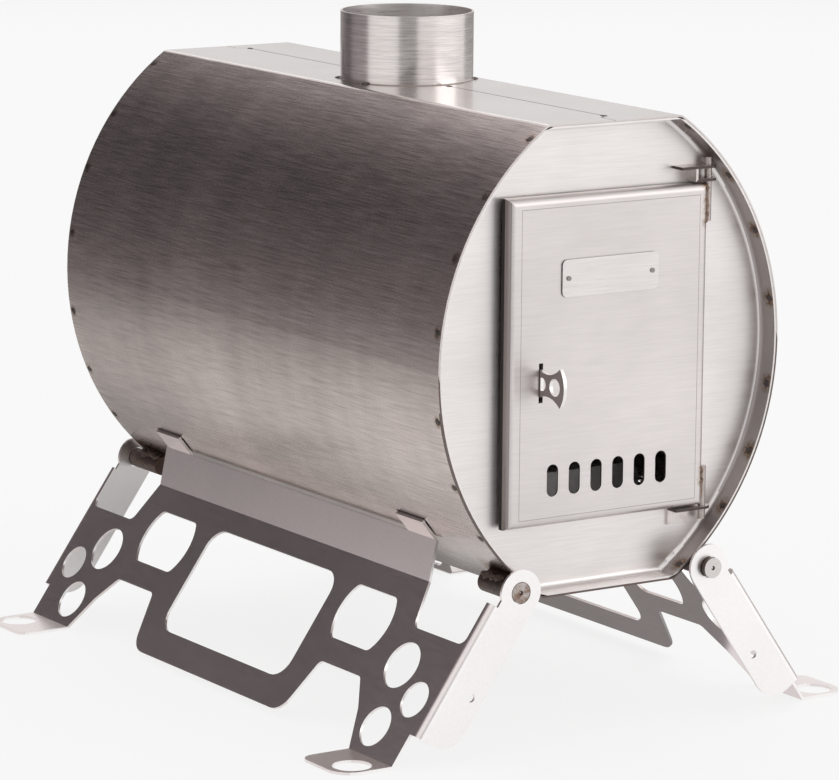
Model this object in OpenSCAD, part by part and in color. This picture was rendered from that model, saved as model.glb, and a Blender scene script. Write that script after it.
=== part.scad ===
// Tent wood stove: an oval sheet-steel firebox on two folding sheet legs.
// Frame: +Z up, +X to the right of the door, the door faces -Y.
// Origin: on the ground, under the middle of the whole stove. Millimetres.

/* [Barrel] */
// Length of the barrel, front edge to rear edge
barrel_len = 400; // [340:10:460]
// Greatest width of the barrel
barrel_w = 220; // [205:5:240]
// Height of the barrel, flat top to flat bottom
barrel_h = 252; // [244:4:268]
// Width of the flat top and of the flat bottom
flat_w = 86; // [78:2:96]
// Outer radius of the four bends between a flat and a curved side
corner_r = 5; // [3:0.5:7]
// Thickness of the barrel sheet
shell_t = 1; // [0.8:0.1:1.4]
// Distance of the lap seam on the top from the centre line
seam_x = 5; // [2:1:8]
// Length at each end of the barrel over which the seam runs to the left of its line
seam_end_len = 18; // [12:1:24]
// How far to the left it runs there
seam_step = 6; // [4:1:8]
// Width of the open line along the lap seam
seam_w = 0.5; // [0.4:0.1:0.8]
// Depth of the open line along the lap seam
seam_depth = 0.5; // [0.3:0.1:0.6]

/* [End panels] */
// How far the front and rear panels lie inside the barrel's ends
panel_recess = 12; // [9:1:16]
// Thickness of the end panels
panel_t = 1; // [0.8:0.1:1.4]
// Inside radius of the bend round the end panels
panel_bend_r = 3; // [2:0.5:4]
// Gap between an end panel's flange and the barrel
panel_gap = 0.1; // [0.05:0.05:0.2]
// Depth cut off the end panels' four corners
panel_corner_cut = 0.9; // [0.8:0.05:1]
// Overlap of the door on the front panel, all round the door opening
door_lap = 11; // [9:0.5:14]
// Corner radius of the door opening
opening_r = 8; // [4:1:12]

/* [Flue collar] */
// Outer diameter of the flue collar
collar_d = 75; // [70:1:78]
// Height of the flue collar above the flat top
collar_h = 38.5; // [30:0.5:50]
// Thickness of the collar sheet
collar_t = 1; // [0.8:0.1:1.2]
// Collar centre to the right of the centre line
collar_x = 5; // [0:1:5]
// Collar centre behind the middle of the barrel
collar_y = 10; // [-20:5:40]
// Length of the collar below the flat top, inside the barrel
collar_seat = 3; // [2:0.5:6]
// Gap between the collar and its hole in the barrel
collar_gap = 0.1; // [0.05:0.05:0.2]

/* [Door] */
// Distance of the door's upper and lower edges from the barrel's flats
door_edge = 38; // [36:1:42]
// Door centre to the left of the barrel's centre line
door_shift = 0.5; // [0:0.5:2]
// Depth of the door pan, face to free edge
door_depth = 7; // [6:0.5:7.5]
// Gap between the door's free edge and the front panel
door_gap = 2.5; // [2:0.5:3]
// Thickness of the door sheet
door_t = 1; // [0.8:0.1:1.2]
// Outer radius of the door's bent edges
door_bend_r = 4; // [3:0.5:5]

/* [Air slots] */
// Number of air slots in the door
air_count = 6; // [4:1:7]
// Width of an air slot
air_w = 7.2; // [5:0.2:8.4]
// Height of an air slot
air_h = 17.4; // [14:0.2:22]
// Distance from one air slot to the next
air_pitch = 14.1; // [12:0.1:15]
// Height of the air slots' middle above the door's lower edge
air_up = 24.5; // [22:0.5:30]

/* [Door hinge] */
// Diameter of the hinge rods
rod_d = 4; // [3.6:0.2:4.4]
// Distance of the hinge axis in front of the front panel
hinge_out = 5; // [4.6:0.2:5.6]
// Radial clearance of a rod in its bracket hole
rod_clear = 0.2; // [0.1:0.05:0.3]
// Length of a rod that is welded along the door's edge
rod_weld_len = 21; // [16:1:28]
// Length of the upper rod above its bracket
upper_rod_tail = 4; // [2:0.5:5]
// Gap between the upper rod and the front panel's flange
rod_rim_gap = 0.45; // [0.4:0.05:2]
// Length of the lower rod below its bracket
lower_rod_tail = 6; // [3:0.5:8]
// Thickness of the hinge brackets
bracket_t = 1.5; // [1.2:0.1:2]
// Clearance between the door's edges and the bracket ears
ear_clear = 0.8; // [0.5:0.1:1.2]
// Distance between the two ears of the upper bracket
ear_span = 7; // [6:0.2:7]
// Radius of the bracket ears round the hinge axis
ear_r = 4.2; // [3.6:0.2:4.6]
// Reach of the long ears from the hinge axis along the panel
ear_reach = 20; // [16:1:24]
// Distance of the upper bracket's web from the hinge axis
web_reach = 11; // [8:0.5:13]
// Height of the lower bracket's foot on the panel
bracket_foot_h = 8; // [6:0.5:10]
// Length of the lower bracket's foot along the panel
bracket_foot_len = 13; // [10:0.5:14]

/* [Latch] */
// Distance of the latch from the door's left edge
latch_in = 21; // [19:0.5:24]
// Height of the latch above the door's lower edge
latch_up = 77.5; // [70:0.5:90]
// Height of the latch slot in the door
latch_slot_h = 21.2; // [20:0.2:24]
// Thickness of the latch plate
latch_t = 2; // [1.6:0.1:2.4]
// Clearance beside the latch plate in its slot and bracket
latch_side_clear = 0.3; // [0.2:0.05:0.5]
// Height of the latch plate where it leaves the door
latch_neck_h = 15; // [13:0.5:16]
// Height of the latch plate over its horns
latch_horn_h = 21; // [18:0.5:24]
// Distance of the horns from the door face
latch_horn_out = 18.7; // [16:0.5:22]
// Distance of the latch's round end from the door face
latch_reach = 22.6; // [20:0.5:26]
// Radius of the hollows above and below the latch plate
latch_waist_r = 17; // [14:0.5:20]
// Diameter of the finger hole in the latch
latch_eye_d = 9.4; // [8:0.2:10]
// Height of the half-round hole beside it
latch_window_h = 7; // [6:0.5:8]
// Diameter of the latch pin
latch_pin_d = 3; // [2.6:0.1:3.4]
// Radial clearance of the latch on its pin
latch_pin_clear = 0.05; // [0.02:0.01:0.08]
// Distance of the latch pin behind the door sheet
latch_pin_in = 3.6; // [3.2:0.1:4]
// Thickness of the latch bracket sheet
latch_bracket_t = 1.2; // [1:0.1:1.4]
// Length of the hook's nose behind the keeper
latch_nose = 3; // [2.5:0.1:3.5]
// Depth by which the nose hooks behind the keeper
latch_bite = 1.8; // [1.5:0.1:2]
// Clearance between the hook and the keeper
latch_clear = 0.5; // [0.4:0.1:0.6]
// Height of the keeper's tongue
keeper_h = 8; // [6:0.5:10]
// Thickness of the keeper
keeper_t = 1.5; // [1.2:0.1:1.8]
// Overlap of the keeper on the front panel
keeper_lap = 12; // [9:1:14]

/* [Nameplate] */
// Width of the plate on the door
plate_w = 62; // [50:1:70]
// Height of the plate on the door
plate_h = 20; // [16:0.5:24]
// Thickness of the plate
plate_t = 0.8; // [0.5:0.1:1.2]
// Corner radius of the plate
plate_r = 3; // [2:0.5:5]
// Height of the plate's middle above the door's lower edge
plate_up = 132; // [125:0.5:140]
// Diameter of the plate's two rivet heads
rivet_d = 2.6; // [2:0.2:3.4]
// Height of a rivet head
rivet_h = 0.6; // [0.4:0.1:1]
// Distance of a rivet from the plate's end
rivet_in = 4; // [3:0.5:6]

/* [Ember guard] */
// Distance of the guard behind the front panel
guard_back = 37; // [30:1:45]
// Width of the guard beyond each side of the door opening
guard_side_lap = 0.5; // [0:0.5:3]
// Height of the guard above the opening's lower edge
guard_over = 6; // [4:0.5:10]
// Depth of the guard's shelf below the opening's lower edge
guard_under = 12; // [9:0.5:15]
// Height of the guard's lip on the front panel
guard_lip = 8; // [6:0.5:8.5]
// Corner radius of the guard's upper corners
guard_r = 7; // [4:0.5:9]
// Thickness of the guard
guard_t = 1; // [0.8:0.1:1.2]

/* [Leg pivots] */
// Diameter of the pivot stubs
stub_d = 11.2; // [10:0.2:12]
// Length of a stub under the barrel
stub_len = 27; // [22:1:34]
// Distance of the stubs from the barrel's lower corners, along its curved sides
stub_arc_len = 17.5; // [16:0.5:19]
// Gap between a stub and the barrel, bridged by its weld
stub_gap = 0.1; // [0.05:0.05:0.2]
// Width of a stub's weld
weld_w = 6; // [5:0.5:7]
// Length of a right stub beyond its ear
stub_head = 3.5; // [2:0.5:5]
// Diameter of the centre mark in a stub's end
dimple_d = 2.4; // [2:0.2:3]
// Depth of the centre mark in a stub's end
dimple_depth = 0.8; // [0.5:0.1:1]
// Radial clearance of a leg's ear on its stub
ear_hole_clear = 0.4; // [0.3:0.1:0.5]

/* [Legs] */
// Thickness of the leg sheet
leg_t = 1.5; // [1.2:0.1:1.6]
// Lean of a set-up leg from the vertical
leg_angle = 35; // [33:1:37]
// Width of the legs' end flanges
flange_w = 25; // [24:0.5:26]
// Outer radius of the bend between a leg's panel and its end flanges
flange_bend_r = 4; // [3.5:0.5:4.5]
// Gap between the barrel's ends and the left leg's flanges
leg_end_gap = 4.5; // [4:0.5:6]
// Gap between the flanges of the left and right legs
nest_gap = 1; // [0.8:0.1:1.5]
// Distance along the panel from the pivot to the upper fold
fold_u = 13.5; // [13:0.5:14.5]
// Distance along the panel from the pivot to the foot's fold
foot_u = 113; // [110:1:120]
// Distance along the panel from the pivot to the flanges' lower ends
flange_end_u = 93.6; // [92:0.4:95]
// Radius of the flanges' lower inner corners
flange_toe_r = 15; // [12:1:16]
// Diameter of the small hole in the flanges
peg_hole_d = 4.6; // [4:0.2:5.4]
// Distance along the flange from the pivot to the small hole
peg_hole_u = 61; // [58:0.5:66]
// Distance of the small hole from the flange's middle, towards its free edge
peg_hole_in = 4.8; // [3:0.2:6]
// Distance of the upper flange's ends from the leg's ends
top_in = 61; // [59:1:64]
// Distance of the upper notch's inner edge from the leg's end
notch_in = 53; // [48:1:56]
// Distance of the upper notch's bottom along the panel from the pivot
notch_u = 39.5; // [38:0.5:41]
// Corner radius of the upper notch
notch_r = 5; // [3:0.5:7]
// Distance of the lower recess's outer end from the leg's end
recess_in = 73.5; // [71:0.5:76]
// Distance of the lower recess along the panel from the pivot
recess_u = 75; // [73:0.5:77]
// Corner radius of the lower recess
recess_r = 4; // [2:0.5:6]
// Distance of the strut's inner knee from the leg's end
knee_in = 61; // [58:1:64]
// Distance of the strut's inner knee along the panel from the pivot
knee_u = 91; // [89:1:93]
// Radius of the strut's inner knee
knee_r = 20; // [10:1:30]
// Distance of the grip's ends at the recess from the leg's end
grip_in = 114; // [111:1:117]
// Distance of the grip's ends at its lower edge from the leg's end
grip_low_in = 125; // [122:1:128]
// Distance of the grip's lower edge along the panel from the pivot
grip_u = 109.5; // [107:0.5:111]
// Radius of the grip's lower corners
grip_r = 13; // [9:1:16]

/* [Leg cut-outs] */
// Distance of the grip window's ends from the leg's ends
window_in = 138.5; // [136:0.5:144]
// Distance of the window's upper edge along the panel from the pivot
window_u = 26.5; // [26:0.5:28]
// Height of the window along the panel
window_h = 66; // [62:0.5:68]
// Corner radius of the window
window_r = 12; // [8:1:14]
// Radius of the two cut-off round holes
round_r = 25; // [22:0.5:26]
// Height of the cut-off round holes
round_h = 33; // [30:0.5:35]
// Radius of their four corners
round_corner_r = 5; // [3:0.5:7]
// Distance of the cut-off round holes from the leg's ends
round_in = 98.5; // [96:0.5:101]
// Distance of the cut-off round holes along the panel from the pivot
round_u = 44.3; // [43:0.1:46]
// Radius of the upper hole in each strut
upper_hole_r = 13.5; // [11:0.5:14]
// Distance of the upper hole from the leg's end
upper_hole_in = 45; // [43:0.5:47]
// Distance of the upper hole along the panel from the pivot
upper_hole_u = 61; // [59:0.5:63]
// Radius of the outer hole in each strut
outer_hole_r = 10.4; // [8:0.2:11]
// Distance of the outer hole from the leg's end
outer_hole_in = 19.7; // [18.5:0.1:21]
// Distance of the outer hole along the panel from the pivot
outer_hole_u = 75.7; // [74:0.1:77]
// Radius of the lower hole in each strut
lower_hole_r = 11.6; // [9:0.2:12]
// Distance of the lower hole from the leg's end
lower_hole_in = 38.8; // [37:0.1:40]
// Distance of the lower hole along the panel from the pivot
lower_hole_u = 96.7; // [95:0.1:98]

/* [Feet] */
// Length of a foot, fold to tip
foot_len = 31; // [28:1:34]
// Width of a foot
foot_w = 42; // [40:1:43]
// Distance of a foot's outer edge from the leg's end
foot_in = 8; // [7:0.5:9]
// Radius of a foot's inner corner at the tip
foot_in_r = 8; // [4:0.5:12]
// Radius of a foot's outer corner at the tip
foot_out_r = 13; // [8:1:16]
// Diameter of the hole in a foot
foot_hole_d = 21; // [16:0.5:22]
// Distance of the foot hole's middle from the foot's outer edge
foot_hole_in = 12.8; // [12.5:0.1:14]
// Distance of the foot hole's middle from the fold
foot_hole_out = 16.5; // [15:0.5:18]

/* [Hooks] */
// Distance of the hook tabs' middle from the barrel's lower corners, along its curved sides
hook_arc_len = 45.9; // [45:0.3:47]
// Length of a hook tab along the barrel's surface
hook_len = 13.2; // [12:0.2:14]
// Distance of the hooks' middle from the leg's end
hook_end = 76; // [74:0.5:78]
// Width of a hook tab
hook_w = 26; // [22:1:28]
// Gap between a hook tab and the barrel
hook_gap = 0.5; // [0.3:0.1:0.7]
// Reach of the hook's lip inside the barrel sheet
lip_in = 2; // [1.5:0.1:2.5]
// Clearance of the lip in its slot
lip_clear = 1; // [0.8:0.1:1.3]

/* [Hidden] */
$fn = 96;
// Segments of a rounded corner in an outline
corner_steps = 6;
// One overrun for every cut
over = 2;

// Barrel section: two flats and two arcs of side_r about centres at +-side_c
half_flat = flat_w / 2;
side_sag = barrel_w / 2 - half_flat;
side_r = (side_sag * side_sag + barrel_h * barrel_h / 4) / (2 * side_sag);
side_c = side_r - barrel_w / 2;
corner_angle = asin(barrel_h / 2 / side_r);
stub_angle = corner_angle - stub_arc_len / side_r * 180 / PI;
hook_angle = corner_angle - hook_arc_len / side_r * 180 / PI;
fillet_z = barrel_h / 2 - corner_r;
fillet_x = sqrt((side_r - corner_r) * (side_r - corner_r) - fillet_z * fillet_z) - side_c;
fillet_angle = atan2(fillet_z, fillet_x + side_c);

// Half width of the section, moved inwards by inset, at height dz from the barrel's middle
function side_x(inset, dz) = sqrt((side_r - inset) * (side_r - inset) - dz * dz) - side_c;

// Leg pivot, measured from the barrel's centre
stub_r = stub_d / 2;
pivot_reach = side_r + stub_r + stub_gap;
pivot_x = pivot_reach * cos(stub_angle) - side_c;
pivot_dz = -pivot_reach * sin(stub_angle);
panel_out = flange_w / 2;

// Heights above the ground: the feet's undersides are at 0
foot_fold_drop = foot_u * cos(leg_angle) - panel_out * sin(leg_angle);
pivot_z = foot_fold_drop + leg_t;
barrel_z = pivot_z - pivot_dz;
top_z = barrel_z + barrel_h / 2;

// Planes along Y
front_y = -barrel_len / 2;
panel_y = front_y + panel_recess;
door_back_y = panel_y - door_gap;
door_y = door_back_y - door_depth;
hinge_y = panel_y - hinge_out;
panel_back_y = panel_y + panel_t;

// Door edges and hinge axis
door_x = -door_shift;
door_h = barrel_h - 2 * door_edge;
door_bottom = barrel_z - door_h / 2;
door_top = barrel_z + door_h / 2;
upper_ear_z = door_top + ear_clear;
lower_ear_z = door_bottom - ear_clear - bracket_t;
upper_rod_tip = upper_ear_z + ear_span + bracket_t + upper_rod_tail;
rod_r = rod_d / 2;
weld_gap = 0.05;
hinge_x = side_x(shell_t + panel_gap + panel_t, upper_rod_tip - barrel_z) - rod_rim_gap - rod_r;
door_w = 2 * (hinge_x - rod_r - weld_gap - door_x);
door_left = door_x - door_w / 2;
door_right = door_x + door_w / 2;
opening_w = door_w - 2 * door_lap;
opening_h = door_h - 2 * door_lap;
opening_bottom = barrel_z - opening_h / 2;
guard_w = opening_w + 2 * guard_side_lap;

// Latch pivot
latch_x = door_left + latch_in;
latch_z = door_bottom + latch_up;
latch_pin_y = door_y + door_t + latch_pin_in;
keeper_bottom = latch_z - latch_bite;
hook_y = panel_back_y + keeper_t + latch_clear;

// Leg flanges: outer faces at these distances from the middle
left_flange_y = barrel_len / 2 + leg_end_gap + leg_t;
right_flange_y = left_flange_y + nest_gap + leg_t;

// Places along the legs, measured from the middle
leg_end_v = left_flange_y;
top_half = leg_end_v - top_in;
hook_v = leg_end_v - hook_end;
foot_out_v = leg_end_v - foot_in;
foot_in_v = foot_out_v - foot_w;
window_half = leg_end_v - window_in;

steel = [0.74, 0.73, 0.72];
dull_steel = [0.5, 0.48, 0.47];
burnt_steel = [0.28, 0.24, 0.22];

// Outline from [x, y, radius] corners, each corner rounded by an arc
function unit(v) = v / norm(v);
function corner_arc(a, p, b, r) =
    let(u = unit([a[0] - p[0], a[1] - p[1]]), w = unit([b[0] - p[0], b[1] - p[1]]),
        half = acos(max(-1, min(1, u * w))) / 2, back = r / tan(half),
        c = [p[0], p[1]] + unit(u + w) * r / sin(half),
        s = [p[0], p[1]] + u * back - c, turn = sign(u[0] * w[1] - u[1] * w[0]),
        sweep = acos(max(-1, min(1, -(u * w)))))
    [for (i = [0:corner_steps])
        let(t = -turn * sweep * i / corner_steps)
        c + [s[0] * cos(t) - s[1] * sin(t), s[0] * sin(t) + s[1] * cos(t)]];
function rounded(points) =
    let(n = len(points))
    [for (i = [0:n - 1])
        for (q = points[i][2] == 0 ? [[points[i][0], points[i][1]]]
            : corner_arc(points[(i + n - 1) % n], points[i], points[(i + 1) % n], points[i][2]))
            q];
function mirrored(points) = [for (i = [len(points) - 1:-1:0]) [-points[i][0], points[i][1], points[i][2]]];
function box_corners(x0, y0, x1, y1, r) = [[x0, y0, r], [x1, y0, r], [x1, y1, r], [x0, y1, r]];

// Second side of a sheet that follows a path, on the path's right-hand side
function path_normal(a, b) = let(d = unit(b - a)) [d[1], -d[0]];
function path_side(p, t) =
    let(n = len(p))
    [for (i = [0:n - 1])
        let(m = i == 0 ? path_normal(p[0], p[1])
            : i == n - 1 ? path_normal(p[n - 2], p[n - 1])
            : let(a = path_normal(p[i - 1], p[i]), b = path_normal(p[i], p[i + 1])) (a + b) / (1 + a * b))
        p[i] + m * t];
module sheet_path(p, t) {
    side = path_side(p, t);
    polygon(concat(p, [for (i = [len(side) - 1:-1:0]) side[i]]));
}

// Shift along Y that puts the middle of the whole stove over the origin
front_reach = latch_reach - door_y;
rear_reach = right_flange_y + stub_head;
mid_y = (front_reach - rear_reach) / 2;
module placed() {
    translate([0, mid_y, 0]) children();
}

// Turns a flat drawing (x, up) into a solid with its faces across Y, from y0 to y1
module across_y(y0, y1) {
    translate([0, y1, 0]) rotate([90, 0, 0]) linear_extrude(y1 - y0) children();
}
// Turns a flat drawing (y, up) into a solid with its faces across X, from x0 to x1
module across_x(x0, x1) {
    translate([x0, 0, 0]) rotate([90, 0, 90]) linear_extrude(x1 - x0) children();
}

// The barrel's outline, moved inwards by inset
module barrel_section(inset) {
    difference() {
        intersection() {
            translate([-side_c, 0]) circle(side_r - inset, $fn = 240);
            translate([side_c, 0]) circle(side_r - inset, $fn = 240);
            square([barrel_w, barrel_h - 2 * inset], center = true);
        }
        for (sx = [-1, 1], sy = [-1, 1])
            scale([sx, sy]) corner_wedge();
    }
    for (sx = [-1, 1], sy = [-1, 1])
        translate([sx * fillet_x, sy * fillet_z]) circle(corner_r - inset);
}
module corner_wedge() {
    reach = corner_r + over;
    translate([fillet_x, fillet_z])
        polygon([[0, 0], [0, reach], [reach, reach],
                 [reach * cos(fillet_angle), reach * sin(fillet_angle)]]);
}

// Block with the barrel's outline moved inwards, its lower edge all round bent to radius r
module pan_block(inset, r, depth) {
    intersection() {
        translate([-side_c, 0, 0]) bent_disc(side_r - inset, r, depth);
        translate([side_c, 0, 0]) bent_disc(side_r - inset, r, depth);
        translate([-barrel_w / 2, 0, 0]) rotate([90, 0, 90])
            linear_extrude(barrel_w) edge_rounded(barrel_h - 2 * inset, depth, r);
    }
}
module bent_disc(disc_r, r, depth) {
    rotate_extrude($fn = 240) {
        square([disc_r - r, depth]);
        translate([0, r]) square([disc_r, depth - r]);
        translate([disc_r - r, r]) circle(r, $fn = 48);
    }
}
// Flat drawing with the two corners on its lower side rounded, centred in x
module edge_rounded(w, d, r) {
    translate([-w / 2, r]) square([w, d - r]);
    translate([-w / 2 + r, 0]) square([w - 2 * r, d]);
    for (s = [-1, 1]) translate([s * (w / 2 - r), r]) circle(r);
}

// An end panel facing -Y: a pan whose flange reaches out to the barrel's edge
module end_panel() {
    outer_inset = shell_t + panel_gap;
    depth = panel_recess + panel_t;
    corner_z = barrel_h / 2 - outer_inset;
    slope = asin(corner_z / (side_r - outer_inset));
    corner_x = side_x(outer_inset, corner_z);
    translate([0, panel_back_y, barrel_z]) rotate([90, 0, 0]) difference() {
        pan_block(outer_inset, panel_bend_r + panel_t, depth);
        translate([0, 0, panel_t]) pan_block(outer_inset + panel_t, panel_bend_r, depth);
        for (sx = [0, 1], sz = [0, 1]) mirror([sx, 0, 0]) mirror([0, sz, 0])
            translate([corner_x, corner_z, -over]) rotate([0, 0, (90 + slope) / 2])
                translate([-panel_corner_cut, -corner_r, 0]) cube([corner_r, 2 * corner_r, depth + 2 * over]);
    }
}

module barrel_shell() {
    seam_line = [[seam_x, 0], [seam_x, barrel_len / 2 - seam_end_len],
                 [seam_x - seam_step, barrel_len / 2 - seam_end_len + seam_step],
                 [seam_x - seam_step, barrel_len / 2 + over]];
    color(steel) placed() difference() {
        translate([0, 0, barrel_z]) rotate([90, 0, 0])
            linear_extrude(barrel_len, center = true) difference() {
                barrel_section(0);
                barrel_section(shell_t);
            }
        translate([collar_x, collar_y, top_z - corner_r])
            cylinder(r = collar_d / 2 + collar_gap, h = corner_r + over, $fn = 180);
        for (s = [0, 1]) mirror([0, s, 0])
            translate([0, 0, top_z - seam_depth]) linear_extrude(seam_depth + over)
                sheet_path(seam_line, seam_w);
        for (sx = [0, 1], sy = [-1, 1])
            mirror([sx, 0, 0]) translate([-side_c, sy * hook_v, barrel_z]) hook_slot();
    }
}
// Cutter for one hook slot, about the centre of the side's arc
module hook_slot() {
    slot_mid = hook_len / 2 - leg_t / 2;
    rotate([0, hook_angle, 0])
        translate([side_r - shell_t - over, -hook_w / 2 - lip_clear, slot_mid - leg_t / 2 - lip_clear])
            cube([shell_t + 2 * over, hook_w + 2 * lip_clear, leg_t + 2 * lip_clear]);
}

module front_panel() {
    color(steel) placed() difference() {
        end_panel();
        translate([door_x, 0, barrel_z]) across_y(panel_y - over, panel_back_y + over)
            polygon(rounded(box_corners(-opening_w / 2, -opening_h / 2, opening_w / 2, opening_h / 2,
                                        opening_r)));
    }
}

module rear_panel() {
    color(steel) placed() mirror([0, 1, 0]) end_panel();
}

module flue_collar() {
    color(steel) placed() translate([collar_x, collar_y, top_z - collar_seat]) difference() {
        cylinder(d = collar_d, h = collar_h + collar_seat, $fn = 180);
        translate([0, 0, -over])
            cylinder(r = collar_d / 2 - collar_t, h = collar_h + collar_seat + 2 * over, $fn = 180);
    }
}

module ember_guard() {
    shelf_z = opening_bottom - guard_under;
    rise = guard_under + guard_over;
    path = [[panel_back_y + guard_t, shelf_z + guard_lip], [panel_back_y + guard_t, shelf_z + guard_t],
            [panel_back_y + guard_back - guard_t, shelf_z + guard_t],
            [panel_back_y + guard_back - guard_t, shelf_z + rise]];
    color(dull_steel) placed() intersection() {
        across_x(door_x - guard_w / 2, door_x + guard_w / 2) sheet_path(path, guard_t);
        translate([door_x, 0, shelf_z]) across_y(panel_y, panel_back_y + guard_back + over)
            polygon(rounded([[-guard_w / 2, 0, 0], [guard_w / 2, 0, 0],
                             [guard_w / 2, rise, guard_r], [-guard_w / 2, rise, guard_r]]));
    }
}

// One flat bracket ear at height z, reaching along the panel from the hinge axis
module hinge_ear(z, reach) {
    translate([hinge_x, hinge_y, z]) linear_extrude(bracket_t) difference() {
        union() {
            circle(ear_r);
            translate([-reach, -ear_r]) square([reach, ear_r + hinge_out]);
        }
        circle(rod_r + rod_clear);
    }
}
module upper_hinge_bracket() {
    color(steel) placed() {
        hinge_ear(upper_ear_z + ear_span, ear_reach);
        hinge_ear(upper_ear_z, web_reach);
        translate([hinge_x - web_reach, hinge_y - ear_r, upper_ear_z])
            cube([bracket_t, ear_r + hinge_out, ear_span]);
    }
}
module lower_hinge_bracket() {
    color(steel) placed() {
        hinge_ear(lower_ear_z, ear_reach);
        translate([hinge_x - ear_reach, panel_y - bracket_t, lower_ear_z - bracket_foot_h])
            cube([bracket_foot_len, bracket_t, bracket_foot_h]);
    }
}

module latch_keeper() {
    tongue_end = latch_x + latch_t / 2 + 2 * latch_clear;
    root = door_x - opening_w / 2 - keeper_lap;
    color(dull_steel) placed() translate([0, 0, keeper_bottom])
        across_y(panel_back_y, panel_back_y + keeper_t)
            polygon(rounded(box_corners(root, 0, tongue_end, keeper_h, keeper_t)));
}

// A pivot stub with its weld, at the front right; its end lies at distance tip from the middle
module pivot_stub(tip) {
    root_y = front_y + stub_len;
    color(burnt_steel) translate([0, 0, barrel_z]) difference() {
        union() {
            translate([pivot_x, root_y, pivot_dz]) rotate([90, 0, 0]) cylinder(r = stub_r, h = root_y + tip);
            translate([-side_c, 0, 0]) rotate([0, stub_angle, 0])
                translate([side_r - shell_t, front_y, -weld_w / 2])
                    cube([stub_r + shell_t, stub_len, weld_w]);
        }
        across_y(front_y - over, root_y + over) barrel_section(-weld_gap);
        translate([pivot_x, -tip, pivot_dz]) rotate([-90, 0, 0])
            cylinder(d1 = dimple_d, d2 = dimple_d / 2, h = dimple_depth);
    }
}
module front_left_pivot_stub() placed() mirror([1, 0, 0]) pivot_stub(left_flange_y);
module rear_left_pivot_stub() placed() mirror([1, 0, 0]) mirror([0, 1, 0]) pivot_stub(left_flange_y);
module front_right_pivot_stub() placed() pivot_stub(right_flange_y + stub_head);
module rear_right_pivot_stub() placed() mirror([0, 1, 0]) pivot_stub(right_flange_y + stub_head);

// Block with the four edges of its front face rounded: width, depth behind the face, height
module bent_block(w, d, h, r) {
    intersection() {
        translate([0, 0, -h / 2]) linear_extrude(h) edge_rounded(w, d, r);
        translate([-w / 2, 0, 0]) rotate([0, 90, 0]) linear_extrude(w) edge_rounded(h, d, r);
    }
}
module door_panel() {
    slot_w = latch_t + 2 * latch_side_clear;
    air_r = air_w / 2;
    color(steel) placed() difference() {
        translate([door_x, door_y, barrel_z]) difference() {
            bent_block(door_w, door_depth, door_h, door_bend_r);
            translate([0, door_t, 0])
                bent_block(door_w - 2 * door_t, door_depth + over, door_h - 2 * door_t, door_bend_r - door_t);
        }
        translate([latch_x, 0, latch_z]) across_y(door_y - over, door_y + over)
            square([slot_w, latch_slot_h], center = true);
        for (i = [0:air_count - 1])
            translate([door_x + (i - (air_count - 1) / 2) * air_pitch, 0, door_bottom + air_up])
                across_y(door_y - over, door_y + over) {
                    square([air_w, air_h - air_w], center = true);
                    for (s = [-1, 1]) translate([0, s * (air_h - air_w) / 2]) circle(air_r);
                }
    }
}

module upper_hinge_rod() {
    color(burnt_steel) placed() translate([hinge_x, hinge_y, door_top - rod_weld_len])
        cylinder(r = rod_r, h = upper_rod_tip - door_top + rod_weld_len);
}
module lower_hinge_rod() {
    tip_z = lower_ear_z - lower_rod_tail;
    color(burnt_steel) placed() translate([hinge_x, hinge_y, tip_z])
        cylinder(r = rod_r, h = door_bottom + rod_weld_len - tip_z);
}

module nameplate() {
    color(steel) placed() translate([door_x, 0, door_bottom + plate_up]) across_y(door_y - plate_t, door_y)
        polygon(rounded(box_corners(-plate_w / 2, -plate_h / 2, plate_w / 2, plate_h / 2, plate_r)));
}
module nameplate_rivets() {
    color(dull_steel) placed() for (s = [-1, 1])
        translate([door_x + s * (plate_w / 2 - rivet_in), door_y - plate_t, door_bottom + plate_up])
            rotate([90, 0, 0]) cylinder(d = rivet_d, h = rivet_h);
}

// U-shaped bracket behind the door: a base with the latch slot and two cheeks for the pin
module latch_bracket() {
    inner = latch_t / 2 + latch_side_clear;
    outer = inner + latch_bracket_t;
    base_y = door_y + door_t;
    base_half_h = latch_slot_h / 2 + 3 * latch_bracket_t;
    cheek_half_h = latch_pin_d + latch_bracket_t;
    color(dull_steel) placed() difference() {
        translate([latch_x, 0, latch_z]) {
            difference() {
                across_y(base_y, base_y + latch_bracket_t)
                    square([2 * (outer + 2 * latch_bracket_t), 2 * base_half_h], center = true);
                across_y(base_y - over, base_y + over)
                    square([2 * inner, latch_slot_h], center = true);
            }
            for (s = [-1, 1])
                translate([s * (inner + outer) / 2, 0, 0])
                    across_x(-latch_bracket_t / 2, latch_bracket_t / 2)
                        translate([base_y, -cheek_half_h])
                            square([latch_pin_in + latch_pin_d, 2 * cheek_half_h]);
        }
        translate([latch_x - outer - over, latch_pin_y, latch_z]) rotate([0, 90, 0])
            cylinder(d = latch_pin_d, h = 2 * (outer + over));
    }
}
module latch_pin() {
    half = latch_t / 2 + latch_side_clear + 2 * latch_bracket_t;
    color(dull_steel) placed() translate([latch_x - half, latch_pin_y, latch_z]) rotate([0, 90, 0])
        cylinder(d = latch_pin_d, h = 2 * half);
}

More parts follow.
